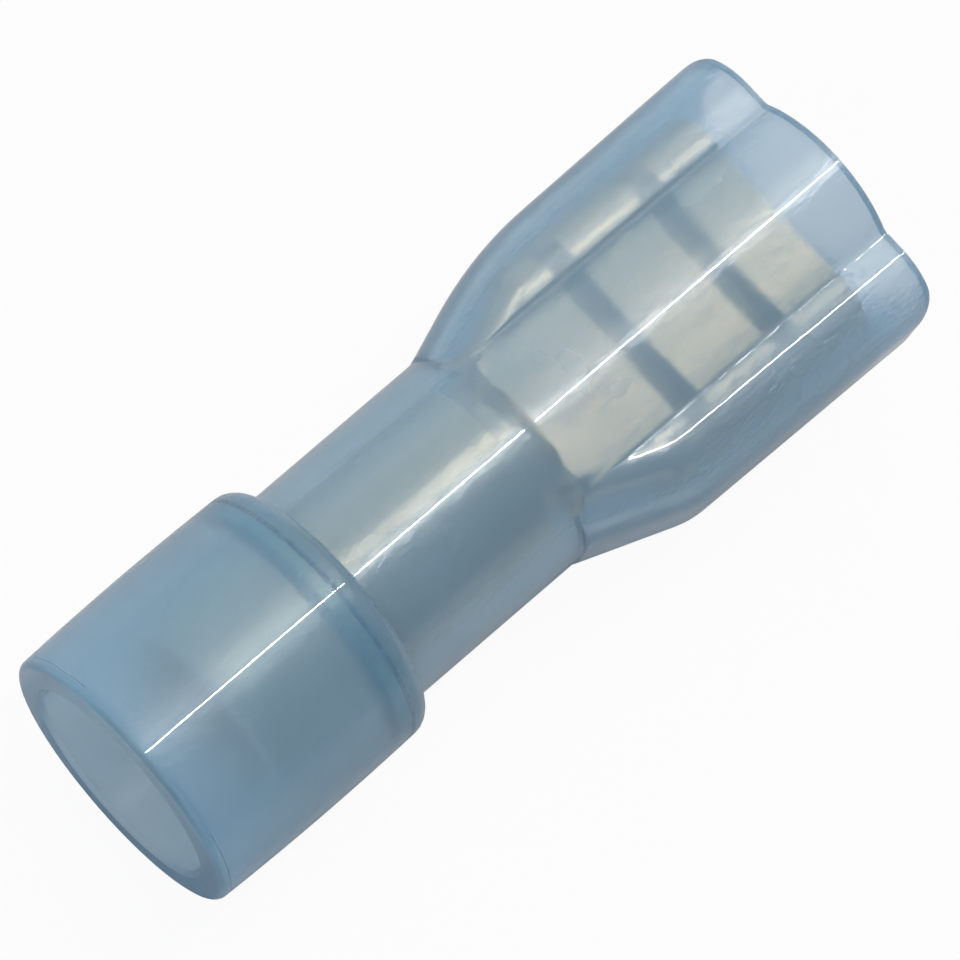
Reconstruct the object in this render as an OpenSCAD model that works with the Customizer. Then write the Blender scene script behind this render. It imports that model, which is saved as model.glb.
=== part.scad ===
// Fully insulated female spade terminal for a 4.8 mm tab and 1.5 to 2.5 mm2 wire.
// It lies on its side: wire end towards -X, tab slot towards +X, receptacle floor upwards.
// The origin is on the surface it lies on, midway along its length. Sizes are in millimetres.
// Inside the modules X runs along the terminal's own axis and is 0 at the wire mouth.

/* [Piece] */
// Which piece to build

/* [Tab and wire] */
// Width of the tab that the receptacle takes
tab_w = 4.75; // [4.2:0.05:5.6]
// Thickness of the tab
tab_t = 0.8; // [0.5:0.1:1.0]
// Bore of the crimp barrel for the bare conductor
conductor_bore_d = 2.6; // [2.2:0.1:2.8]
// Bore of the collar for the insulated wire
wire_bore_d = 4.7; // [4.65:0.05:5.0]

/* [Terminal] */
// Thickness of the brass strip
stock = 0.4; // [0.3:0.02:0.44]
// Length of the rolled crimp barrel
crimp_l = 5.4; // [4.5:0.1:6.0]
// How far the crimp barrel reaches past the sleeve's front end
crimp_proud = 0.5; // [0.3:0.1:0.8]
// Width of the butt seam along the crimp barrel
seam_w = 0.06; // [0.04:0.01:0.12]
// Angle at which the neck steps down from the barrel to the floor
joggle_angle = 20; // [15:1:28]
// Angle of each side of the neck as it opens out
neck_angle = 24; // [18:1:28]
// How far the neck starts inside the barrel's outer surface
neck_inset = 0.05; // [0.03:0.01:0.08]
// Depth of the neck's turned-down sides, from the middle of the floor's stock
neck_side = 0.5; // [0.3:0.05:0.8]
// Length of the receptacle with its two wings
receptacle_l = 5.6; // [5.0:0.1:7.0]
// Room beside the tab on each side
tab_side_room = 0.2; // [0.15:0.05:0.3]
// Room between the tab and a wing's edge
tab_grip_room = 0.02; // [0.01:0.01:0.05]
// Outer radius of the bend between floor and side
bend_r = 0.9; // [0.7:0.05:0.9]
// Outer radius of a wing's curl
curl_r = 0.9; // [0.85:0.05:1.0]
// How far a wing's edge rises past its curl
tip_rise = 0.05; // [0.05:0.05:0.2]
// How far the wings' lower front edges are cut back
wing_lead = 0.5; // [0.3:0.1:0.8]
// Slope at each side of the floor, which bows inwards to press on the tab
bow_angle = 8; // [6:1:10]
// Depth of the two grooves pressed across the floor, at its middle
groove_depth = 0.12; // [0.06:0.02:0.16]
// Width of each groove at the surface
groove_w = 0.75; // [0.5:0.05:1.0]
// Distance from the receptacle's rear edge to the first groove's centre
groove_rear = 1.15; // [0.9:0.05:1.4]
// Distance between the two grooves' centres
groove_pitch = 2.6; // [2.2:0.1:3.0]

/* [Grip sleeve] */
// Wall of the sleeve
sleeve_wall = 0.38; // [0.3:0.02:0.44]
// Distance from the wire mouth to the sleeve's flared rear edge
sleeve_inset = 2.2; // [1.8:0.1:2.6]
// Length of the flared rear end
bell_l = 1.1; // [0.8:0.1:1.4]
// Distance from the sleeve's front end to where the head starts to flare
sleeve_setback = 0.4; // [0.2:0.1:0.8]

/* [Housing] */
// Largest diameter of the crowned collar
collar_d = 6.35; // [6.3:0.05:6.8]
// Diameter of the collar at its mouth
mouth_d = 6.18; // [6.1:0.02:6.28]
// Length of the collar
collar_l = 5.6; // [5.2:0.1:6.4]
// Distance from the mouth to the collar's thickest place
crown_at = 3.4; // [2.8:0.1:4.0]
// Rounding of the mouth's outer edge
rim_round = 0.16; // [0.1:0.02:0.24]
// Rounding of the collar's front shoulder
shoulder_round = 0.36; // [0.2:0.02:0.4]
// Size of the chamfer inside the wire mouth
lead_in = 0.1; // [0.05:0.01:0.2]
// Depth of the full-width wire bore
wire_bore_l = 4.7; // [4.4:0.1:4.8]
// Length of the funnel between wire bore and barrel bore
funnel_l = 0.35; // [0.2:0.05:0.5]
// Length of the barrel between collar and head
barrel_l = 4.9; // [4.4:0.1:6.0]
// Wall of the barrel at its front end
barrel_wall = 0.55; // [0.5:0.01:0.6]
// How much wider the barrel is at its rear end than at its front end
barrel_draft = 0.06; // [0.02:0.01:0.1]
// Angle of each flank of the head as it opens out
flare_angle = 20; // [17:1:24]
// Wall of the head
head_wall = 0.45; // [0.4:0.01:0.55]
// Radius inside the head's four long corners
chamber_r = 0.9; // [0.8:0.05:1.0]
// Draft of each flank between the knee and the tab mouth
head_draft = 1.3; // [0.6:0.1:2.0]
// Length of the cone between the barrel and the bulge on the head
step_l = 0.35; // [0.2:0.05:0.6]
// Distance from the receptacle's front edge to the tab mouth
mouth_recess = 1.3; // [0.9:0.1:1.8]
// Rounding of the tab mouth's two outer corners
mouth_corner_r = 0.6; // [0.4:0.05:0.9]

/* [Fits] */
// Radial room between crimp barrel and sleeve
crimp_room = 0.02; // [0.01:0.01:0.04]
// Radial room between sleeve and barrel bore
sleeve_room = 0.02; // [0.01:0.01:0.04]
// Radial room between the flared rear edge and the wire bore
bell_room = 0.05; // [0.03:0.01:0.08]
// Room between the receptacle's sides and the chamber
chamber_side_room = 0.17; // [0.12:0.01:0.25]
// Room above and below the receptacle in the chamber
chamber_face_room = 0.13; // [0.1:0.01:0.2]
// Room between the receptacle's rear corners and the chamber's flanks
flank_room = 0.08; // [0.05:0.01:0.12]

/* [Hidden] */
$fn = 48;
// Overshoot that lets one solid cut or join another cleanly
over = 0.2;

// Terminal
crimp_r = conductor_bore_d / 2 + stock;
neck_r = crimp_r - neck_inset;
receptacle_w = tab_w + 2 * (tab_side_room + stock);
bend_y = receptacle_w / 2 - bend_r;
bow_r = bend_y / sin(bow_angle) - bend_r;
bow_sag = (bow_r + bend_r) * (1 - cos(bow_angle));
receptacle_h = bow_sag + stock + groove_depth + tab_t + tab_grip_room + tip_rise + curl_r;
side_top = receptacle_h / 2;
floor_top = side_top - bow_sag;
bend_z = side_top - bend_r;
bow_z = floor_top + bow_r;
curl_y = receptacle_w / 2 - curl_r;
curl_z = curl_r - receptacle_h / 2;
groove_r = (pow(groove_w / 2, 2) + pow(groove_depth, 2)) / (2 * groove_depth);

// Grip sleeve
sleeve_r = crimp_r + crimp_room + sleeve_wall;
bell_r = wire_bore_d / 2 - bell_room;
bell_rise = bell_r - sleeve_r;
bell_arc_r = (bell_l * bell_l + bell_rise * bell_rise) / (2 * bell_rise);

// Housing, outside
bore_r = sleeve_r + sleeve_room;
barrel_front_r = bore_r + barrel_wall;
barrel_rear_r = barrel_front_r + barrel_draft / 2;
bulge_r = bore_r + head_wall;
flare_x = collar_l + barrel_l;
crown_sag = (collar_d - mouth_d) / 2;
crown_arc_r = (crown_at * crown_at + crown_sag * crown_sag) / (2 * crown_sag);
shoulder_r = collar_d / 2 - crown_arc_r + sqrt(pow(crown_arc_r, 2) - pow(collar_l - crown_at, 2));

// Housing, head: four long corners share these centre lines inside and outside
corner_z = ceil(100 * (receptacle_h / 2 + chamber_face_room - chamber_r)) / 100;
corner_outer_r = chamber_r + head_wall;
corner_start_y = barrel_front_r - corner_outer_r / cos(flare_angle);
corner_knee_y = receptacle_w / 2 + chamber_side_room - chamber_r;
knee_x = flare_x + (corner_knee_y - corner_start_y) / tan(flare_angle);

// Places along the axis
sleeve_front = flare_x - sleeve_setback;
crimp_front = sleeve_front + crimp_proud;
chamber_start_y = corner_start_y + chamber_r / cos(flare_angle);
receptacle_x = flare_x + (receptacle_w / 2 + flank_room - chamber_start_y) / tan(flare_angle);
total_l = receptacle_x + receptacle_l + mouth_recess;
mouth_half_w = corner_knee_y + (total_l - knee_x) * tan(head_draft) + corner_outer_r / cos(head_draft);

// Turns a shape drawn upright so that it runs along the terminal
module lengthwise() {
    rotate([0, 90, 0]) children();
}

// Extrudes a cross-section, drawn with its width across and its height up, along the terminal
module along(length) {
    rotate([90, 0, 90]) linear_extrude(height = length) children();
}

// Draws a side outline, drawn with the axis across and the height up, right through the terminal
module through(width) {
    rotate([90, 0, 0]) linear_extrude(height = width, center = true) children();
}

module both_sides() {
    for (side = [0, 1]) mirror([0, side, 0]) children();
}

// Housing ------------------------------------------------------------------------------------

// Fills a corner up to a rounding, for cutting it away; the corner points out and up
module corner_waste(round) {
    difference() {
        translate([-round, -round]) square(round + over);
        translate([-round, -round]) circle(r = round);
    }
}

// Half outline of the crowned collar, with its radius across and its length up
module collar_outline() {
    difference() {
        intersection() {
            square([collar_d / 2, collar_l]);
            translate([collar_d / 2 - crown_arc_r, crown_at]) circle(r = crown_arc_r, $fn = 120);
        }
        translate([shoulder_r, collar_l]) corner_waste(shoulder_round);
        translate([mouth_d / 2, 0]) mirror([0, 1]) corner_waste(rim_round);
    }
}

// Section of one flank: a rounded side, with a flat strip that overlaps the web between the flanks
module flank_section(radius) {
    for (side = [-1, 1]) translate([0, side * corner_z]) intersection() {
        circle(r = radius);
        translate([0, min(side * radius, 0)]) square(radius);
    }
    translate([-over, -corner_z - radius]) square([over, 2 * (corner_z + radius)]);
    translate([-over, -corner_z]) square([radius + over, 2 * corner_z]);
}

// A flat oval that opens out evenly; its corner centre lines pass the place given at the angle given
module opening_oval(at_x, at_y, angle, radius) {
    end_x = total_l + 2 * over;
    start_x = flare_x - over;
    start_y = at_y - (at_x - start_x) * tan(angle);
    end_y = at_y + (end_x - at_x) * tan(angle);
    both_sides() {
        translate([start_x, start_y, 0]) rotate([0, 0, angle])
            along((end_x - start_x) / cos(angle)) flank_section(radius);
        linear_extrude(height = 2 * (corner_z + radius), center = true)
            polygon([[start_x, -over], [start_x, start_y], [end_x, end_y], [end_x, -over]]);
    }
}

// The flat oval of the head: it flares from the barrel to the knee, then runs on with its draft
module flat_oval(radius) {
    intersection() {
        opening_oval(flare_x, corner_start_y, flare_angle, radius);
        opening_oval(knee_x, corner_knee_y, head_draft, radius);
        translate([flare_x, -collar_d, -collar_d]) cube([total_l, 2 * collar_d, 2 * collar_d]);
    }
}

// Plan of the tab mouth with its rounded corners, closed well behind the knee
module mouth_plan() {
    difference() {
        translate([0, -mouth_half_w]) square([total_l, 2 * mouth_half_w]);
        for (side = [0, 1]) mirror([0, side]) translate([total_l, mouth_half_w]) corner_waste(mouth_corner_r);
    }
}

// The round bulge that runs along both faces of the head
module bulge() {
    lengthwise() translate([0, 0, flare_x]) {
        cylinder(h = step_l, r1 = barrel_front_r, r2 = bulge_r);
        cylinder(h = total_l - flare_x + over, r = bulge_r);
    }
}

module housing_outside() {
    lengthwise() {
        rotate_extrude() collar_outline();
        translate([0, 0, collar_l - shoulder_round])
            cylinder(h = barrel_l + shoulder_round, r1 = barrel_rear_r, r2 = barrel_front_r);
    }
    intersection() {
        union() {
            bulge();
            flat_oval(corner_outer_r);
        }
        linear_extrude(height = collar_d, center = true) mouth_plan();
    }
}

module housing_inside() {
    lengthwise() {
        translate([0, 0, -over]) cylinder(h = wire_bore_l + over, d = wire_bore_d);
        translate([0, 0, -over]) cylinder(h = lead_in + over, r1 = wire_bore_d / 2 + lead_in + over, r2 = wire_bore_d / 2);
        translate([0, 0, wire_bore_l]) cylinder(h = funnel_l, r1 = wire_bore_d / 2, r2 = bore_r);
        translate([0, 0, wire_bore_l]) cylinder(h = total_l - wire_bore_l + over, r = bore_r);
    }
    flat_oval(chamber_r);
}

module housing() {
    color([0.56, 0.74, 0.86, 0.6]) place() difference() {
        housing_outside();
        housing_inside();
    }
}

// Grip sleeve --------------------------------------------------------------------------------

// Half section of the flared rear end, curved outwards from the straight tube
module bell_section() {
    intersection() {
        translate([sleeve_r + bell_arc_r, bell_l]) difference() {
            circle(r = bell_arc_r + sleeve_wall, $fn = 120);
            circle(r = bell_arc_r, $fn = 120);
        }
        square([bell_r + over, bell_l]);
    }
}

module grip_sleeve() {
    color([0.78, 0.77, 0.73]) place() lengthwise() rotate_extrude() {
        translate([0, sleeve_inset]) bell_section();
        translate([sleeve_r - sleeve_wall, sleeve_inset + bell_l])
            square([sleeve_wall, sleeve_front - sleeve_inset - bell_l]);
    }
}

// Terminal -----------------------------------------------------------------------------------

// Rolled barrel and the joggle that grows out of it, with the butt seam on the wings' side
module crimp_barrel() {
    difference() {
        union() {
            translate([crimp_front - crimp_l, 0, 0]) lengthwise() cylinder(h = crimp_l, r = crimp_r);
            joggle();
        }
        translate([crimp_front - crimp_l - over, 0, 0])
            lengthwise() cylinder(h = crimp_l + over, d = conductor_bore_d);
        translate([crimp_front - crimp_l - over, -seam_w / 2, -crimp_r - over])
            cube([crimp_l + 2 * over, seam_w, crimp_r]);
    }
}

// Upper half of a ring
module half_ring(outer, inner) {
    intersection() {
        difference() {
            circle(r = outer);
            circle(r = inner);
        }
        translate([-outer, 0]) square([2 * outer, outer]);
    }
}

// Half pipe that steps down from the barrel to the level of the floor
module joggle() {
    start_x = crimp_front - stock / 2 - neck_r * sin(joggle_angle);
    drop = neck_r * cos(joggle_angle) - floor_top;
    translate([start_x, 0, 0]) rotate([0, joggle_angle, 0])
        along(drop / sin(joggle_angle) + stock) half_ring(neck_r, neck_r - stock);
}

module both_halves() {
    for (side = [0, 1]) mirror([side, 0]) children();
}

// Section of the floor, bowed inwards between its two bends
module floor_section() {
    intersection() {
        translate([0, bow_z]) difference() {
            circle(r = bow_r + stock);
            circle(r = bow_r);
        }
        polygon([[0, bow_z], [-bow_z * tan(bow_angle), 0], [bow_z * tan(bow_angle), 0]]);
    }
}

// Half section of a bend from the bowed floor round to the side
module bend_section() {
    translate([bend_y, bend_z]) intersection() {
        difference() {
            circle(r = bend_r);
            circle(r = bend_r - stock);
        }
        polygon([[0, 0], [2 * bend_r, 0], [2 * bend_r, 2 * bend_r], [-2 * bend_r * tan(bow_angle), 2 * bend_r]]);
    }
}

// Upper section of the receptacle, from one side over the floor to the other
module channel_section() {
    floor_section();
    both_halves() bend_section();
}

// Channel that opens out from the joggle to the receptacle: the floor carried back, with low sides
module neck() {
    start_x = crimp_front;
    run_x = receptacle_x + stock - start_x;
    start_y = neck_r;
    end_y = start_y + run_x * tan(neck_angle);
    intersection() {
        translate([start_x, 0, 0]) along(run_x) channel_section();
        linear_extrude(height = receptacle_h)
            polygon([[start_x, -start_y], [start_x, start_y], [start_x + run_x, end_y], [start_x + run_x, -end_y]]);
    }
    difference() {
        both_sides() translate([start_x, start_y - stock, floor_top - stock / 2 - neck_side])
            rotate([0, 0, neck_angle]) cube([run_x / cos(neck_angle), stock, neck_side]);
        translate([receptacle_x + stock / 2, -receptacle_w, -receptacle_h]) cube(2 * receptacle_w);
    }
}

// Half section of the receptacle under its bend: a side and a wing curled back under the tab
module wing_section() {
    translate([receptacle_w / 2 - stock, curl_z]) square([stock, bend_z - curl_z]);
    translate([curl_y, curl_z]) {
        mirror([0, 1]) half_ring(curl_r, curl_r - stock);
        translate([-curl_r, 0]) square([stock, tip_rise]);
    }
}

// Side outline of the two pressed grooves, or of their inner side when the stock is added
module groove_outline(added) {
    for (i = [0, 1]) translate([receptacle_x + groove_rear + i * groove_pitch, floor_top - groove_depth + groove_r])
        circle(r = groove_r + added);
}

module receptacle() {
    difference() {
        union() {
            translate([receptacle_x, 0, 0]) along(receptacle_l) {
                channel_section();
                both_halves() wing_section();
            }
            intersection() {
                through(2 * bend_y) groove_outline(stock);
                translate([0, 0, floor_top - stock - groove_depth - over])
                    linear_extrude(height = stock / 2 + groove_depth + over)
                        translate([receptacle_x, -bend_y]) square([receptacle_l, 2 * bend_y]);
            }
        }
        through(receptacle_w + over) groove_outline(0);
        translate([receptacle_x + receptacle_l, 0, 0]) through(receptacle_w + over)
            polygon([[0, 0], [over, 0], [over, -receptacle_h], [-wing_lead, -receptacle_h / 2 - over]]);
    }
}

module terminal() {
    color([0.80, 0.77, 0.68]) place() {
        crimp_barrel();
        neck();
        receptacle();
    }
}

// Moves a piece from the terminal's own axis to where it lies
module place() {
    translate([-total_l / 2, 0, collar_d / 2]) children();
}

housing();
grip_sleeve();
terminal();
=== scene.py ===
"""Looks of a nylon-insulated female spade terminal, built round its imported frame.

The nylon housing, the grip sleeve and the terminal are made again as smooth surfaces.
Lengths in the shape functions are millimetres measured along the terminal from its wire mouth.
"""
import math

import bpy
import numpy as np
from mathutils import Matrix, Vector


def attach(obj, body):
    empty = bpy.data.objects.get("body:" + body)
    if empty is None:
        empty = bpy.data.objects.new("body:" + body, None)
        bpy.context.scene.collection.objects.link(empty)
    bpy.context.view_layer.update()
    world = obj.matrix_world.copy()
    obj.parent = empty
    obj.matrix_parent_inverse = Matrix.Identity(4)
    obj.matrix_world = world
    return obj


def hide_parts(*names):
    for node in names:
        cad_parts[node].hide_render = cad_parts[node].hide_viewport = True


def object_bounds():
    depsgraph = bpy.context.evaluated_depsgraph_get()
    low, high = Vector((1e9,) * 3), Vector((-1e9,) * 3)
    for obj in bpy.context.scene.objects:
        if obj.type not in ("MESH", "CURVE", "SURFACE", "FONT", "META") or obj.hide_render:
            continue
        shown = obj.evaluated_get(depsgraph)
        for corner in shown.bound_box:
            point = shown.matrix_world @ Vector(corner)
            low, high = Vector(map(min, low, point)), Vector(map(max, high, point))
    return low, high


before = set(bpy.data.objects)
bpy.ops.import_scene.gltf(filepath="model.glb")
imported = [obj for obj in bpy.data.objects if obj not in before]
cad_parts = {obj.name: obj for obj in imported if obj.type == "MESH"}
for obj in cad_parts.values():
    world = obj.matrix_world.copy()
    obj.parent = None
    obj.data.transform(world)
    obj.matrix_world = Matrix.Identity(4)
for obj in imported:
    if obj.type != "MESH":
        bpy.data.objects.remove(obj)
CAD_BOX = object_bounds()
MM = 0.001
LENGTH = (CAD_BOX[1].x - CAD_BOX[0].x) / MM
AXIS_Z = (CAD_BOX[0].z + CAD_BOX[1].z) / 2 / MM

# ---- Sizes, in millimetres ------------------------------------------------------------------

# Collar, with the small rounding at its foot
COLLAR_R = (CAD_BOX[1].z - CAD_BOX[0].z) / 2 / MM
COLLAR_MOUTH_R, COLLAR_END, CROWN_AT = 3.09, 5.74, 3.4
RIM_ROUND, SHOULDER_ROUND, FOOT_ROUND = 0.16, 0.42, 0.06

# Wire bore, funnel and barrel bore
WIRE_BORE_R, WIRE_BORE_END, LEAD_IN, LEAD_ROUND = 2.35, 4.7, 0.1, 0.03
BORE_R, FUNNEL_END, FUNNEL_ROUND = 2.12, 5.05, 0.06

# Barrel, and the cone down to the bulge on the head
BARREL_REAR_R, BARREL_FRONT_R, BULGE_R = 2.64, 2.67, 2.57
FLARE_X, STEP_LENGTH, STEP_EASE = 10.5, 0.35, 0.02

# Head: its flanks, knees, long corners and tab mouth; left is the +Y side
FLARE, WALL, CORNER_R, CORNER_Z = math.radians(20), 0.45, 0.9, 0.45
FLARE_SLOPE, DRAFT_SLOPE = math.tan(FLARE), math.tan(math.radians(1.3))
KNEE_X, KNEE_CENTRE_Y, KNEE_EASE_LEFT, KNEE_EASE_RIGHT = 13.279, 2.245, 0.5, 0.12
DRAFT_STOP, BULGE_EASE, MOUTH_CORNER_R = 0.5, 0.07, 0.42
MOUTH_BAND, MOUTH_EDGE_SET, LIP_EDGE_SET = 0.05, 0.03, 0.012

# Grip sleeve
SLEEVE_R, SLEEVE_WALL, SLEEVE_REAR, SLEEVE_FRONT = 2.1, 0.38, 2.2, 10.1
BELL_R, BELL_LENGTH, SLEEVE_ROUND_OUT, SLEEVE_ROUND_IN = 2.3, 1.1, 0.05, 0.03

# Terminal: crimp barrel, neck and receptacle
STOCK, CRIMP_REAR, CRIMP_FRONT, CRIMP_R, SEAM = 0.4, 5.2, 10.6, 1.7, 0.06
NECK_INSET, NECK_SLOPE, NECK_BEND_R, NECK_SIDE = 0.05, math.tan(math.radians(24)), 0.5, 0.5
JOGGLE, NECK_IN_CRIMP, NECK_IN_HEAD = 0.4, 0.25, 0.15
HEAD_REAR, HEAD_FRONT, HEAD_HALF_W, HEAD_HALF_H = 12.874, 18.474, 2.975, 1.2176
BEND_R, CURL_R, TIP_RISE, WING_LEAD = 0.9, 0.9, 0.05, 0.5
FLOOR_TOP, BOW = 1.0725, math.radians(10.5)
GROOVES, GROOVE_W, GROOVE_DEPTH, GROOVE_SOFT = (14.024, 16.624), 0.75, 0.15, 0.15
GROOVE_FADE = 0.7

# Finish: where each change in the nylon starts and ends
BORE_FADE = WIRE_BORE_R + 0.03, WIRE_BORE_R + 0.12
COLLAR_FADE = COLLAR_END - 0.4, COLLAR_END + 0.1
SCUFF_ALONG, SCUFF_ASIDE = (KNEE_X - 0.6, KNEE_X + 0.4), (-1.5, -1.8)
SOLID_REAR_FADE = WIRE_BORE_END - 0.15, WIRE_BORE_END + 0.1
SOLID_FRONT_FADE = WIRE_BORE_END + 0.45, WIRE_BORE_END + 0.75
RIM_FADE = 0.1, 0.4


# ---- Shape functions ------------------------------------------------------------------------

def soft_max(a, b, ease):
    """The larger of a and b, plus ease/4 times the square of how nearly they meet, as a fillet."""
    near = np.clip(1 - np.abs(a - b) / ease, 0, 1)
    return np.maximum(a, b) + ease * near**2 / 4


def soft_min(a, b, ease):
    """The smaller of a and b, less the same fillet."""
    return -soft_max(-a, -b, ease)


def rounded_path(corners, segments=6):
    """Points of a polyline whose corners are replaced by arcs.

    Each corner is (x, r, radius): the arc touches both legs at radius / tan(half the angle between
    them) from the corner, and a point on each leg just past the arc keeps the leg's shading flat.
    """
    p = np.array([c[:2] for c in corners], float)
    points = [p[:1]]
    for i in range(1, len(p) - 1):
        back, ahead = p[i - 1] - p[i], p[i + 1] - p[i]
        back, ahead = back / np.linalg.norm(back), ahead / np.linalg.norm(ahead)
        half = math.acos(float(np.clip(back @ ahead, -1, 1))) / 2
        radius = corners[i][2]
        reach = radius / math.tan(half)
        centre = p[i] + (back + ahead) / np.linalg.norm(back + ahead) * radius / math.sin(half)
        first, last = p[i] + back * reach - centre, p[i] + ahead * reach - centre
        turn = math.pi - 2 * half
        k = np.linspace(0, 1, segments + 1)[:, None]
        arc = (np.sin((1 - k) * turn) * first + np.sin(k * turn) * last) / math.sin(turn) + centre
        points += [p[i] + back * reach * 1.5, arc, p[i] + ahead * reach * 1.5]
    points.append(p[-1:])
    return np.concatenate([q.reshape(-1, 2) for q in points])


def flat_oval(half_width, half_height, corner, turn):
    """Distance from the axis to a flat oval with round corners, at each angle round it.

    The flat sides are width / cos and height / sin of the angle, and inside a corner it is the far
    root of the circle about that corner's centre.
    """
    c, s = np.abs(np.cos(turn)), np.abs(np.sin(turn))
    straight = np.minimum(half_width / np.maximum(c, 1e-9), half_height / np.maximum(s, 1e-9))
    y, z = half_width - corner, half_height - corner
    reach = y * c + z * s
    root = np.sqrt(np.maximum(reach**2 - (y**2 + z**2 - corner**2), 0))
    in_corner = (straight * c > y) & (straight * s > z)
    return np.where(in_corner, reach + root, straight)


def stations(*spans):
    """Places along the axis; each span is its first place, its last place and how many."""
    return np.concatenate([np.linspace(*span) for span in spans])


def straight_rows(x, r):
    """Profile rows of x and radius with one radius throughout."""
    return np.stack([x, np.full_like(x, r)], 1)


def placed(x, y, z):
    """Row-frame points, in metres, of arrays measured from the wire mouth and the axis."""
    return np.stack([x - LENGTH / 2, y, z + AXIS_Z], -1) * MM


def quads(index):
    """Faces between the neighbouring rows and columns of a grid of vertex numbers."""
    corners = [index[:-1, :-1], index[1:, :-1], index[1:, 1:], index[:-1, 1:]]
    return np.stack(corners, -1).reshape(-1, 4)


def ring_shell(points):
    """A shell whose grid of points closes on itself in both directions."""
    index = np.arange(points[..., 0].size).reshape(points.shape[:2])
    return points.reshape(-1, 3), quads(np.pad(index, ((0, 1), (0, 1)), mode="wrap"))


def sheet_shell(middle):
    """Bent stock about a grid of middle points: offset half the stock along its normal each way.

    The normal is the cross product of the slopes along and across the grid.
    """
    normal = np.cross(np.gradient(middle, axis=0), np.gradient(middle, axis=1))
    normal *= STOCK * MM / 2 / np.linalg.norm(normal, axis=-1, keepdims=True)
    upper = np.arange(middle[..., 0].size).reshape(middle.shape[:2])
    lower = upper + upper.size
    round_it = np.concatenate([upper, lower[:, ::-1], upper[:, :1]], 1)
    caps = [np.stack([lower[0], upper[0]]), np.stack([upper[-1], lower[-1]])]
    points = np.concatenate([(middle + normal).reshape(-1, 3), (middle - normal).reshape(-1, 3)])
    return points, np.concatenate([quads(round_it), quads(caps[0]), quads(caps[1])])


def outwards(points, faces):
    """The faces, turned round if the volume that they enclose comes out negative."""
    a, b, c, d = (points[faces[:, k]] for k in range(4))
    volume = np.einsum("ij,ij->i", a + c, np.cross(c - a, d - b)).sum()
    return faces if volume > 0 else faces[:, ::-1]


def shell_mesh(name, shells, crisp=math.radians(32)):
    """One smooth-shaded mesh of several closed shells, with edges over the crisp angle sharp."""
    starts = np.cumsum([0] + [len(points) for points, _ in shells])
    faces = np.concatenate([outwards(*shell) + start for shell, start in zip(shells, starts)])
    points = np.concatenate([points for points, _ in shells])
    mesh = bpy.data.meshes.new(name)
    mesh.vertices.add(len(points))
    mesh.vertices.foreach_set("co", points.astype(np.float32).ravel())
    mesh.loops.add(faces.size)
    mesh.loops.foreach_set("vertex_index", faces.astype(np.int32).ravel())
    mesh.polygons.add(len(faces))
    mesh.polygons.foreach_set("loop_start", np.arange(0, faces.size, 4, dtype=np.int32))
    mesh.polygons.foreach_set("use_smooth", np.ones(len(faces), bool))
    mesh.update(calc_edges=True)
    mesh.validate()
    mesh.set_sharp_from_angle(angle=crisp)
    piece = bpy.data.objects.new(name, mesh)
    bpy.context.scene.collection.objects.link(piece)
    return piece


# ---- Housing --------------------------------------------------------------------------------

QUARTER = 72


def quarter_angles(crease):
    """Angles of a quarter turn, closer together about the crease; crease is an array of rows.

    Between 0 and the crease, and between the crease and a right angle, the spacing is seven tenths
    the sine of an even parameter, which shrinks towards the crease, and three tenths even.
    """
    even = np.linspace(0, 1, QUARTER // 2, endpoint=False)
    lower = 0.7 * np.sin(even * math.pi / 2) + 0.3 * even
    upper = 0.7 * (1 - np.cos(even * math.pi / 2)) + 0.3 * even
    return np.concatenate([
        crease[:, None] * lower,
        crease[:, None] + (math.pi / 2 - crease[:, None]) * upper,
    ], 1)


def full_turn(crease):
    """Angles all the way round, with a crease in each quarter: one quarter, mirrored and turned."""
    quarter = quarter_angles(crease)
    right_angle = np.full((len(quarter), 1), math.pi / 2)
    mirrored = np.concatenate([quarter[:, 1:], right_angle], 1)[:, ::-1]
    turns = [quarter, math.pi - mirrored, math.pi + quarter, 2 * math.pi - mirrored]
    return np.concatenate(turns, 1)


def head_width(x, corner, knee_ease):
    """Half width of the head: the flaring line and the draft line, with the knee between eased."""
    flaring = BARREL_FRONT_R - (WALL + CORNER_R - corner) / math.cos(FLARE)
    flaring = flaring + (x - FLARE_X) * FLARE_SLOPE
    past_knee = np.minimum(x, LENGTH - DRAFT_STOP) - KNEE_X
    return soft_min(flaring, KNEE_CENTRE_Y + corner + past_knee * DRAFT_SLOPE, knee_ease)


def head_section(x, turn, round_r, corner):
    """Distance from the axis to the head at x: the larger of the round bulge and the flat oval."""
    left = np.cos(turn) > 0
    width = np.where(left, head_width(x, corner, KNEE_EASE_LEFT),
                     head_width(x, corner, KNEE_EASE_RIGHT))
    return soft_max(round_r, flat_oval(width, CORNER_Z + corner, corner, turn), BULGE_EASE)


def crease_angles(x, round_r, corner):
    """Angle at which the flat oval meets the round bulge, found on a fine row of angles."""
    turn = np.linspace(math.radians(20), math.radians(70), 1501)[None]
    width = head_width(x[:, None], corner, KNEE_EASE_RIGHT)
    oval = flat_oval(width, CORNER_Z + corner, corner, turn)
    return turn[0][np.argmax(oval < round_r[:, None], 1)]


def mouth_end(y):
    """Where the housing ends at each distance y from the middle: straight, then a round corner."""
    widest = head_width(np.array(LENGTH), CORNER_R + WALL, KNEE_EASE_RIGHT)
    past = np.clip(np.abs(y) - (widest - MOUTH_CORNER_R), 0, MOUTH_CORNER_R)
    return LENGTH - MOUTH_CORNER_R + np.sqrt(MOUTH_CORNER_R**2 - past**2)


def fitted_to_mouth(x, y):
    """Rows past the start of the mouth's corners, drawn back in proportion to where it ends."""
    start = LENGTH - MOUTH_CORNER_R - MOUTH_BAND
    return np.where(x > start, start + (x - start) / (LENGTH - start) * (mouth_end(y) - start), x)


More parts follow.
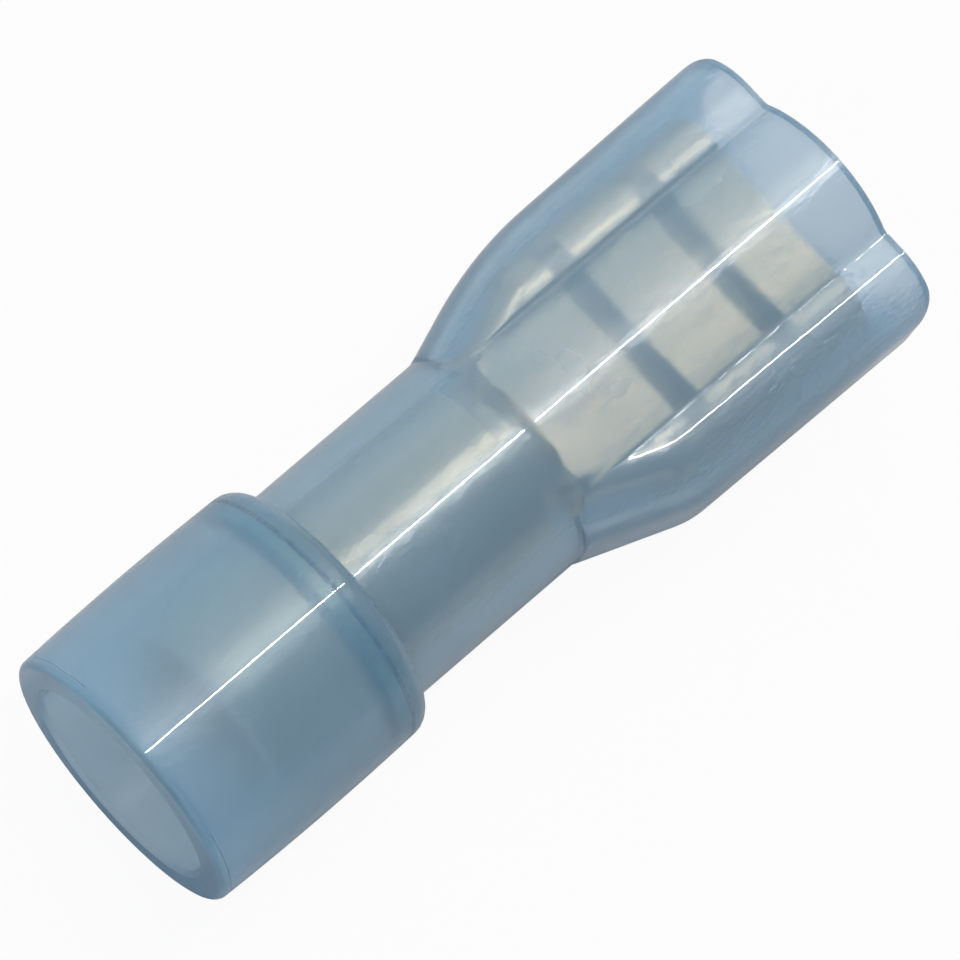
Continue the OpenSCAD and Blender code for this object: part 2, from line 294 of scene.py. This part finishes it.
def outer_tube():
    """Profile of the collar and barrel, as rows of x and radius, from the wire bore's edge on.

    The collar's crown is an arc through its largest radius and its mouth's radius, and the
    barrel's radius grows evenly.
    """
    fall = COLLAR_R - COLLAR_MOUTH_R
    crown_r = (CROWN_AT**2 + fall**2) / (2 * fall)
    crown_x = np.linspace(RIM_ROUND * 1.3, COLLAR_END - SHOULDER_ROUND * 1.2, 26)
    crown = COLLAR_R - crown_r + np.sqrt(crown_r**2 - (crown_x - CROWN_AT)**2)
    shoulder_r = COLLAR_R - crown_r + math.sqrt(crown_r**2 - (COLLAR_END - CROWN_AT)**2)
    mouth = rounded_path([
        (LEAD_IN, WIRE_BORE_R), (0, WIRE_BORE_R + LEAD_IN, LEAD_ROUND),
        (0, COLLAR_MOUTH_R, RIM_ROUND), (crown_x[0], crown[0])])
    shoulder = rounded_path([
        (crown_x[-1], crown[-1]), (COLLAR_END, shoulder_r, SHOULDER_ROUND),
        (COLLAR_END, BARREL_REAR_R, FOOT_ROUND), (FLARE_X - 0.1, BARREL_FRONT_R)])
    barrel_x = np.linspace(COLLAR_END + 0.3, FLARE_X - 0.12, 22)
    barrel_r = np.interp(barrel_x, [COLLAR_END, FLARE_X], [BARREL_REAR_R, BARREL_FRONT_R])
    return np.concatenate([mouth, np.stack([crown_x, crown], 1)[1:-1], shoulder[:-1],
                           np.stack([barrel_x, barrel_r], 1)])


def inner_tube():
    """Profile of the barrel bore, the funnel and the wire bore, back from the head."""
    funnel = rounded_path([
        (FLARE_X, BORE_R), (FUNNEL_END, BORE_R, FUNNEL_ROUND),
        (WIRE_BORE_END, WIRE_BORE_R, FUNNEL_ROUND), (WIRE_BORE_END - 0.2, WIRE_BORE_R)])
    return np.concatenate([
        straight_rows(np.linspace(FLARE_X, FUNNEL_END + 0.1, 14), BORE_R), funnel[1:],
        straight_rows(np.linspace(WIRE_BORE_END - 0.4, 0.14, 22), WIRE_BORE_R)])


def tube_rings(profile, creased):
    """A profile carried round the axis, its angles going from creased ones to even ones behind."""
    x, r = profile[:, :1], profile[:, 1:]
    even = np.linspace(0, 2 * math.pi, 4 * QUARTER, endpoint=False)
    turn = creased + (even - creased) * np.clip((FLARE_X - 0.3 - x) / 2, 0, 1)
    return placed(x + 0 * turn, r * np.cos(turn), r * np.sin(turn))


def housing_grid():
    """Closed grid of the housing: rows run out over it, round the mouth's edge and back inside.

    The outside of the head follows the cone down to the bulge, or the flat oval where that is
    further out. The lip's rows are straight between the outer and the inner edge.
    """
    out_x = stations(
        (FLARE_X - 0.08, FLARE_X + 0.5, 24), (FLARE_X + 0.6, 12.5, 16), (12.56, 14.0, 26),
        (14.2, LENGTH - MOUTH_CORNER_R - MOUTH_BAND, 24), (LENGTH - MOUTH_CORNER_R, LENGTH, 14))
    in_x = stations((LENGTH, 14.2, 30), (14.1, 12.4, 26), (12.3, FLARE_X + 0.1, 18))
    cone = BARREL_FRONT_R + (out_x - FLARE_X) / STEP_LENGTH * (BULGE_R - BARREL_FRONT_R)
    cone = soft_min(cone, np.full_like(cone, BARREL_FRONT_R), STEP_EASE)
    out_round = soft_max(cone, BULGE_R, STEP_EASE)
    corner = CORNER_R + WALL

    turn_out = full_turn(crease_angles(out_x, out_round, corner))
    turn_in = full_turn(crease_angles(in_x, np.full_like(in_x, BORE_R), CORNER_R))
    radius_out = np.where(out_x[:, None] < FLARE_X, out_round[:, None],
                          head_section(out_x[:, None], turn_out, out_round[:, None], corner))
    radius_in = head_section(in_x[:, None], turn_in, BORE_R, CORNER_R)

    y_out, z_out = radius_out * np.cos(turn_out), radius_out * np.sin(turn_out)
    y_in, z_in = radius_in * np.cos(turn_in), radius_in * np.sin(turn_in)
    x_out, x_in = fitted_to_mouth(out_x[:, None], y_out), fitted_to_mouth(in_x[:, None], y_in)
    x_out[-1] -= MOUTH_EDGE_SET
    x_in[0] -= MOUTH_EDGE_SET

    k = np.array([0.04, 0.1, 0.25, 0.5, 0.75, 0.9, 0.96])[:, None]
    y_lip, z_lip = y_out[-1] + (y_in[0] - y_out[-1]) * k, z_out[-1] + (z_in[0] - z_out[-1]) * k
    x_lip = mouth_end(y_lip)
    x_lip[[0, -1]] -= LIP_EDGE_SET

    return np.concatenate([
        tube_rings(outer_tube(), turn_out[:1]), placed(x_out, y_out, z_out),
        placed(x_lip, y_lip, z_lip), placed(x_in, y_in, z_in),
        tube_rings(inner_tube(), turn_in[-1:]),
    ])


# ---- Grip sleeve ----------------------------------------------------------------------------

def sleeve_grid():
    """Closed grid of the sleeve: a tube whose rear end curves out to a bell on a circular arc."""
    rise = BELL_R - SLEEVE_R
    arc_r = (BELL_LENGTH**2 + rise**2) / (2 * rise)
    x = np.linspace(0, BELL_LENGTH, 14)
    outer = SLEEVE_R + arc_r - np.sqrt(arc_r**2 - (BELL_LENGTH - x)**2)
    slope = (BELL_LENGTH - x) / np.sqrt(arc_r**2 - (BELL_LENGTH - x)**2)
    inner = outer - SLEEVE_WALL * np.sqrt(1 + slope**2)
    x = x + SLEEVE_REAR
    bore_r = SLEEVE_R - SLEEVE_WALL
    path = np.concatenate([
        np.stack([x, outer], 1),
        rounded_path([(x[-1] + 0.1, SLEEVE_R), (SLEEVE_FRONT, SLEEVE_R, SLEEVE_ROUND_OUT),
                      (SLEEVE_FRONT, bore_r, SLEEVE_ROUND_IN), (x[-1] + 0.1, bore_r)]),
        np.stack([x, inner], 1)[::-1],
        [(x[0], (outer[0] + inner[0]) / 2)],
    ])
    turn = np.linspace(0, 2 * math.pi, 192, endpoint=False)[None]
    r = path[:, 1:]
    return placed(path[:, :1] + 0 * turn, r * np.cos(turn), r * np.sin(turn))


# ---- Terminal -------------------------------------------------------------------------------

def half_section(half_width, bend_r, side_low, curl_r=0.0, tip=0.0):
    """Middle line of half a channel: bowed floor, bend, side and curl, as rows of y and z.

    The floor is an arc of the bow angle that ends where the bend's arc starts, the side is a
    straight drop, and the curl is half a turn back under with a short rise at its end. Without a
    curl the line stops at the side's lower edge.
    """
    n_floor, n_bend, n_side, n_curl, n_tip = 26, 12, 5, 18, 3
    mid_bend, mid_curl = bend_r - STOCK / 2, curl_r - STOCK / 2
    centre_y = half_width - bend_r
    big = centre_y / np.sin(BOW) - bend_r
    v = np.linspace(0, 1, n_floor)[None]
    y1 = (big + STOCK / 2) * np.sin(BOW * v)
    z1 = FLOOR_TOP - STOCK / 2 + (big + STOCK / 2) * (1 - np.cos(BOW * v))
    centre_z = FLOOR_TOP + big - (big + bend_r) * np.cos(BOW)
    a = -BOW + (math.pi / 2 + BOW) * np.linspace(0, 1, n_bend)[None]
    y2, z2 = centre_y + mid_bend * np.sin(a), centre_z + mid_bend * np.cos(a)
    v = np.linspace(0, 1, n_side)[None]
    y3, z3 = y2[:, -1:] + 0 * v, centre_z + (side_low - centre_z) * v
    parts = [(y1, z1), (y2, z2), (y3, z3)]
    if curl_r:
        a = math.pi * np.linspace(0, 1, n_curl)[None]
        y4 = half_width - curl_r + mid_curl * np.cos(a)
        z4 = side_low - mid_curl * np.sin(a)
        v = np.linspace(0, 1, n_tip)[None]
        parts += [(y4, z4), (y4[:, -1:] + 0 * v, side_low + tip * v)]
    return tuple(np.concatenate([parts[0][k]] + [part[k][:, 1:] for part in parts[1:]], 1)
                 for k in range(2))


def both_halves(y, z):
    """A half section and its mirror image, without a second point in the middle."""
    return np.concatenate([-y[:, :0:-1], y], 1), np.concatenate([z[:, :0:-1], z], 1)


def crimp_barrel():
    """Middle surface of the crimp barrel: a round tube, open along its seam on the under side."""
    mid = CRIMP_R - STOCK / 2
    x = np.concatenate([[CRIMP_REAR, CRIMP_REAR + 0.02],
                        np.linspace(CRIMP_REAR + 0.2, CRIMP_FRONT - 0.2, 12),
                        [CRIMP_FRONT - 0.02, CRIMP_FRONT]])[:, None]
    gap = SEAM / 2 / mid
    turn = np.linspace(-math.pi + gap, math.pi - gap, 145)[None]
    return placed(x + 0 * turn, mid * np.sin(turn) + 0 * x, mid * np.cos(turn) + 0 * x)


def receptacle():
    """Middle surface of the receptacle: the half section and its mirror, drawn along the axis.

    Each groove is pressed down by its depth at its middle, less a straight slope that is rounded
    at the bottom, and fades down the bend. The wings' lower front edges lean back.
    """
    x = np.linspace(HEAD_REAR, HEAD_FRONT, 113)[:, None]
    y, z = both_halves(*half_section(HEAD_HALF_W + 0 * x, BEND_R, CURL_R - HEAD_HALF_H + 0 * x,
                                     CURL_R, TIP_RISE))
    off = [np.minimum(np.abs(x - groove) * 2 / GROOVE_W, 1) for groove in GROOVES]
    full = math.hypot(1, GROOVE_SOFT) - GROOVE_SOFT
    press = sum(GROOVE_DEPTH * (1 - (np.sqrt(u**2 + GROOVE_SOFT**2) - GROOVE_SOFT) / full)
                for u in off)
    z = z - press * np.clip((z - (HEAD_HALF_H - BEND_R)) / (BEND_R * GROOVE_FADE), 0, 1)
    back = WING_LEAD * np.clip(-z / HEAD_HALF_H, 0, 1)
    share = (x - HEAD_REAR) / (HEAD_FRONT - HEAD_REAR)
    return placed(x - back * share, y, z)


def neck():
    """Middle surface of the neck: half a tube that turns into a widening channel.

    The change is a smooth step, 3 times the square less twice the cube of how far along it is.
    """
    mid = CRIMP_R - STOCK / 2
    x = np.linspace(CRIMP_FRONT - NECK_IN_CRIMP, HEAD_REAR + NECK_IN_HEAD, 44)[:, None]
    half = CRIMP_R - NECK_INSET + np.maximum(x - CRIMP_FRONT, 0) * NECK_SLOPE
    side_low = FLOOR_TOP - NECK_SIDE - STOCK / 2 + 0 * x
    y, z = both_halves(*half_section(half, NECK_BEND_R, side_low))
    turn = np.linspace(-1, 1, y.shape[1])[None] * math.pi / 2
    step = np.clip((x - CRIMP_FRONT) / JOGGLE, 0, 1)
    step = step**2 * (3 - 2 * step)
    y = (mid - NECK_INSET) * np.sin(turn) * (1 - step) + y * step
    z = (mid - NECK_INSET) * np.cos(turn) * (1 - step) + z * step
    return placed(x + 0 * y, y, z)


# ---- Materials ------------------------------------------------------------------------------

WHITE = (1, 1, 1, 1)
NYLON_SKIN, NYLON_DEPTH = (0.97, 0.98, 1, 1), (0.18, 0.71, 0.87, 1)
NYLON_THROUGH = (0.50, 0.72, 0.92, 1)
MILK_THIN, MILK_THICK = (0.47, 0.69, 0.90, 1), (0.53, 0.74, 0.94, 1)
# The second colour on the next line is a pale grey for the veil inside the collar's bore: painted
# light for the light that comes in by the mouth, over a veil that is truly milkier there.
MILK_SOLID, BORE_MILK_AND_PAINTED_LIGHT = (0.22, 0.56, 0.82, 1), (0.80, 0.82, 0.81, 1)
GLOSS_COAT = {"Coat Weight": 1.0, "Coat Roughness": 0.02, "Coat IOR": 1.5}


class Wire:
    """A value in one material; arithmetic on wires adds Math nodes."""

    def __init__(self, finish, socket):
        self.finish, self.socket = finish, socket

    def maths(self, operation, first, second):
        """The result of one Math node on two values or wires."""
        return self.finish.node("Math", {"operation": operation}, {0: first, 1: second})

    def __add__(self, other):
        return self.maths("ADD", self, other)

    def __sub__(self, other):
        return self.maths("SUBTRACT", self, other)

    def __rsub__(self, other):
        return self.maths("SUBTRACT", other, self)

    def __mul__(self, other):
        return self.maths("MULTIPLY", self, other)

    def __pow__(self, other):
        return self.maths("POWER", self, other)

    __radd__, __rmul__ = __add__, __mul__


class Finish:
    """A material, or the world, under construction."""

    def __init__(self, block):
        self.block = block
        self.block.use_nodes = True
        self.tree = self.block.node_tree
        self.tree.nodes.clear()

    def node(self, kind, settings=None, inputs=None, output=0):
        """Adds a node, sets it up, fills its sockets and returns one of its outputs, if any."""
        node = self.tree.nodes.new("ShaderNode" + kind)
        for key, value in (settings or {}).items():
            setattr(node, key, value)
        for key, value in (inputs or {}).items():
            if isinstance(value, Wire):
                self.tree.links.new(value.socket, node.inputs[key])
            else:
                node.inputs[key].default_value = value
        return Wire(self, node.outputs[output]) if node.outputs else None

    def place(self, stretch=(1, 1, 1)):
        """Object coordinates, stretched along each axis."""
        where = self.node("TexCoord", output="Object")
        return self.node("Mapping", {}, {"Vector": where, "Scale": stretch})

    def noise(self, scale, detail=2.0, roughness=0.5, stretch=(1, 1, 1)):
        """Soft noise between 0 and 1, with scale features to the metre."""
        return self.node("TexNoise", {}, {"Vector": self.place(stretch), "Scale": scale,
                                          "Detail": detail, "Roughness": roughness})

    def mix(self, share, first, second):
        """Colour between first and second."""
        return self.node("Mix", {"data_type": "RGBA"}, {0: share, 6: first, 7: second}, output=2)

    def remap(self, value, low, high, to_low, to_high):
        """The value carried from low..high to to_low..to_high and held at the ends."""
        return self.node("MapRange", {}, {"Value": value, "From Min": low, "From Max": high,
                                          "To Min": to_low, "To Max": to_high})

    def fade_along(self, along, places, start, end):
        """From start to end between two places, in millimetres from the wire mouth."""
        low, high = ((place - LENGTH / 2) * MM for place in places)
        return self.remap(along, low, high, start, end)

    def bump(self, height, distance):
        """A normal that leans with the height, whose full range stands out by distance metres."""
        return self.node("Bump", {}, {"Height": height, "Distance": distance})

    def done(self, surface, volume=None):
        """The material, ended in its output."""
        ends = {"Surface": surface} | ({"Volume": volume} if volume else {})
        self.node("OutputMaterial", {}, ends)
        return self.block


def nylon_finish(name):
    """Clear blue nylon with a milky veil, thicker in the collar, and a faintly rippled skin.

    The veil throws light back and lets it through at the surface; the blue comes with depth. The
    band where the wire bore ends and the mouth's rim are solid nylon, so they are a deeper blue.
    Inside the collar's bore the veil is a little milkier, and its colour is a painted pale grey:
    painted light for the light that comes in by the mouth.
    """
    f = Finish(bpy.data.materials.new(name))
    cloud = f.noise(260, 3, 0.55)
    flow = f.noise(900, 3, 0.6, stretch=(0.12, 1, 1))
    ripple = f.noise(4500, 2, 0.5, stretch=(0.6, 1, 1))
    along, aside, height = (f.node("SeparateXYZ", {}, {0: f.place()}, output=k) for k in range(3))

    from_axis = (aside**2 + (height - AXIS_Z * MM)**2)**0.5
    bore = f.remap(from_axis, BORE_FADE[0] * MM, BORE_FADE[1] * MM, 1, 0)
    collar = f.fade_along(along, COLLAR_FADE, 1, 0)
    # Mask of the inside of the collar's bore: the veil is milkier there, and it is painted pale
    # grey there as painted light.
    inside = bore * collar
    scuffed = f.remap(aside, SCUFF_ASIDE[0] * MM, SCUFF_ASIDE[1] * MM, 0, 1)
    scuffed = scuffed * f.fade_along(along, SCUFF_ALONG, 0, 1)
    solid = f.fade_along(along, SOLID_REAR_FADE, 0, 1) * f.fade_along(along, SOLID_FRONT_FADE, 1, 0)
    solid = solid + f.fade_along(along, RIM_FADE, 1, 0)

    rough = f.remap(flow, 0.3, 0.7, 0.19, 0.25) + collar * 0.11
    scuff = f.noise(11000, 2, 0.6, stretch=(0.4, 1, 1)) * scuffed
    normal = f.bump(ripple * 0.5 + scuff * 1.2, 0.00003)
    milk = f.mix(cloud, MILK_THIN, MILK_THICK)
    milk = f.mix(solid * 0.7, milk, MILK_SOLID)
    # Painted light: inside the collar's bore the veil's colour turns pale grey, standing in for
    # light that comes in by the mouth.
    milk = f.mix(inside, milk, BORE_MILK_AND_PAINTED_LIGHT)
    veil = f.remap(cloud, 0.3, 0.7, 0.27, 0.35) + collar * 0.05 + inside * 0.05

    body = f.node("BsdfPrincipled", {}, {
        "Base Color": NYLON_SKIN, "Roughness": rough, "Normal": normal, "IOR": 1.53,
        "Specular IOR Level": 0.2, "Transmission Weight": 1.0, **GLOSS_COAT})
    back = f.node("BsdfPrincipled", {}, {
        "Base Color": milk, "Roughness": 0.6, "Normal": normal, "Specular IOR Level": 0.0,
        **GLOSS_COAT})
    through = f.node("BsdfTranslucent", {}, {"Color": NYLON_THROUGH, "Normal": normal})
    haze = f.node("MixShader", {}, {0: 0.5, 1: back, 2: through})
    whole = f.node("MixShader", {}, {0: veil, 1: body, 2: haze})
    return f.done(whole, f.node("VolumeAbsorption", {}, {"Color": NYLON_DEPTH, "Density": 400.0}))


def tin_finish(name, colour, dull, grain):
    """Tin plate: a warm grey metal with rolling lines along the piece and soft patches."""
    f = Finish(bpy.data.materials.new(name))
    lines = f.noise(1400, 3, 0.6, stretch=(0.06, 1, 1))
    patch = f.noise(330, 2, 0.5)
    speck = f.noise(5200, 2, 0.5)
    tone = f.mix(f.remap(patch, 0.35, 0.65, 0, 1), colour, dull)
    rough = f.remap(lines, 0.3, 0.7, 0.13, 0.21) + f.remap(speck, 0.4, 0.7, 0, 0.04)
    normal = f.bump(lines * grain + speck * 0.6, 0.000014)
    return f.done(f.node("BsdfPrincipled", {}, {
        "Base Color": tone, "Roughness": rough, "Normal": normal, "Metallic": 1.0}))


# ---- Pieces ---------------------------------------------------------------------------------

def finished(piece, material, node):
    """Gives a piece its material, hides the imported part of the node it stands for, and hangs it
    on the root body.
    """
    piece.data.materials.append(material)
    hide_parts(node)
    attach(piece, "root")


brass_plate = tin_finish("tinned_brass", (0.93, 0.737, 0.53, 1), (0.87, 0.687, 0.49, 1), 1.0)
copper_plate = tin_finish("tinned_copper", (0.93, 0.745, 0.53, 1), (0.87, 0.695, 0.49, 1), 0.7)
nylon = nylon_finish("milky_blue_nylon")
bent_sheets = [sheet_shell(middle) for middle in (crimp_barrel(), neck(), receptacle())]
finished(shell_mesh("nylon_housing", [ring_shell(housing_grid())]), nylon, "housing")
finished(shell_mesh("sleeve_tube", [ring_shell(sleeve_grid())]), copper_plate,
         "grip_sleeve")
finished(shell_mesh("spade_receptacle", bent_sheets), brass_plate, "terminal")

# ---- Camera, floor and light ----------------------------------------------------------------

# The camera's lean over the terminal's axis, its roll about it and its own turn
TILT, ROLL, TURN = math.radians(18.4), math.radians(6.0), math.radians(40.6)
# Sensor, lens, distance, and where the view is centred along and across, in millimetres
SENSOR, LENS, DISTANCE, AIM_ALONG, AIM_ACROSS = 36, 162.50625, 90.0, 0.09345794, 0.08515057

FLOOR_HALF, FLOOR_DULL, FLOOR_PALE = 0.6, (0.50, 0.50, 0.50, 1), (0.54, 0.54, 0.54, 1)
FLOOR_SEEN_WHITE, FLOOR_WHITE_THROUGH = 0.95, 0.5
SKY = (0.20, 0.24, 0.28, 1)

# Each lamp's lean across and along in degrees, its length and width in metres, its power, its
# colour and the rays that don't see it
LAMP_DISTANCE = 0.40
LAMPS = {
    "key_panel": ((13.5, 25), (0.42, 0.085), 0.49, (1.0, 0.83, 0.68), "visible_glossy"),
    "side_panel": ((43, 25), (0.42, 0.34), 0.45, (1.0, 0.90, 0.81), "visible_glossy"),
    "sky_fill": ((90, 10), (0.50, 0.36), 0.55, (0.84, 0.93, 1.0), "visible_glossy"),
    "mouth_fill": ((0, -55), (0.30, 0.30), 0.30, (1, 1, 1), "visible_glossy"),
    "ridge_lamp": ((-1.6, 18.4), (0.30, 0.005), 0.65, (1, 1, 1), "visible_transmission"),
}


def camera_axes():
    """The terminal's length, width and nearness as the camera sees them, before its own turn."""
    tilt, roll = (math.sin(TILT), math.cos(TILT)), (math.sin(ROLL), math.cos(ROLL))
    length = np.array([tilt[1], -roll[0] * tilt[0], roll[1] * tilt[0]])
    width = np.array([0, -roll[1], -roll[0]])
    near = np.array([-tilt[0], -roll[0] * tilt[1], roll[1] * tilt[1]])
    return length, width, near


def add_camera():
    """The scene's camera: it looks against nearness, its picture turned so the terminal rises."""
    length, width, near = camera_axes()
    right = math.cos(TURN) * length + math.sin(TURN) * width
    up = math.sin(TURN) * length - math.cos(TURN) * width
    at = np.array([0, 0, AXIS_Z]) + length * AIM_ALONG + width * AIM_ACROSS + near * DISTANCE
    data = bpy.data.cameras.new("camera")
    data.sensor_width, data.lens = SENSOR, LENS
    data.clip_start, data.clip_end = 0.001, 10
    camera = bpy.data.objects.new("camera", data)
    axes = Matrix((right, up, near)).transposed()
    camera.matrix_world = Matrix.Translation(at * MM) @ axes.to_4x4()
    bpy.context.scene.collection.objects.link(camera)
    bpy.context.scene.camera = camera


def add_floor():
    """A plain pale floor that the camera, and rays through the nylon, see as nearly white."""
    f = Finish(bpy.data.materials.new("pale_floor"))
    lit = f.node("BsdfDiffuse", {}, {"Color": f.mix(f.noise(40), FLOOR_DULL, FLOOR_PALE)})
    share = f.node("Math", {"operation": "MAXIMUM"}, {
        0: f.node("LightPath", output="Is Camera Ray") * FLOOR_SEEN_WHITE,
        1: f.node("LightPath", output="Is Transmission Ray") * FLOOR_WHITE_THROUGH})
    white = f.node("Emission", {}, {"Color": WHITE, "Strength": 1.0})
    material = f.done(f.node("MixShader", {}, {0: share, 1: lit, 2: white}))
    mesh = bpy.data.meshes.new("floor")
    corners = [(x * FLOOR_HALF, y * FLOOR_HALF, 0) for x, y in ((-1, -1), (1, -1), (1, 1), (-1, 1))]
    mesh.from_pydata(corners, [], [(0, 1, 2, 3)])
    floor = bpy.data.objects.new("floor", mesh)
    mesh.materials.append(material)
    bpy.context.scene.collection.objects.link(floor)


def add_light(name, lean, size, power, colour, unseen_by):
    """A soft panel that faces the object, leaning from upright towards +Y and towards +X."""
    across, along = math.radians(lean[0]), math.radians(lean[1])
    towards = np.array([math.sin(along), math.sin(across) * math.cos(along),
                        math.cos(across) * math.cos(along)])
    towards /= np.linalg.norm(towards)
    side = np.cross((1, 0, 0), towards)
    side /= np.linalg.norm(side)
    data = bpy.data.lights.new(name, "AREA")
    data.shape = "RECTANGLE"
    data.size, data.size_y = size
    data.energy, data.color = power, colour
    lamp = bpy.data.objects.new(name, data)
    axes = Matrix((np.cross(side, towards), side, towards)).transposed()
    lamp.matrix_world = Matrix.Translation(towards * LAMP_DISTANCE) @ axes.to_4x4()
    lamp.visible_camera = False
    setattr(lamp, unseen_by, False)
    bpy.context.scene.collection.objects.link(lamp)


def add_world():
    """A dim bluish sky round the object that the camera sees as white."""
    f = Finish(bpy.data.worlds.new("studio"))
    sky = f.node("Background", {}, {"Color": SKY, "Strength": 1.0})
    seen = f.node("Background", {}, {"Color": WHITE, "Strength": 1.0})
    camera_ray = f.node("LightPath", output="Is Camera Ray")
    mixed = f.node("MixShader", {}, {0: camera_ray, 1: sky, 2: seen})
    f.node("OutputWorld", {}, {"Surface": mixed})
    bpy.context.scene.world = f.block


add_camera()
add_floor()
add_world()
for lamp_name, lamp in LAMPS.items():
    add_light(lamp_name, *lamp)
bpy.context.scene.view_settings.view_transform = "Standard"
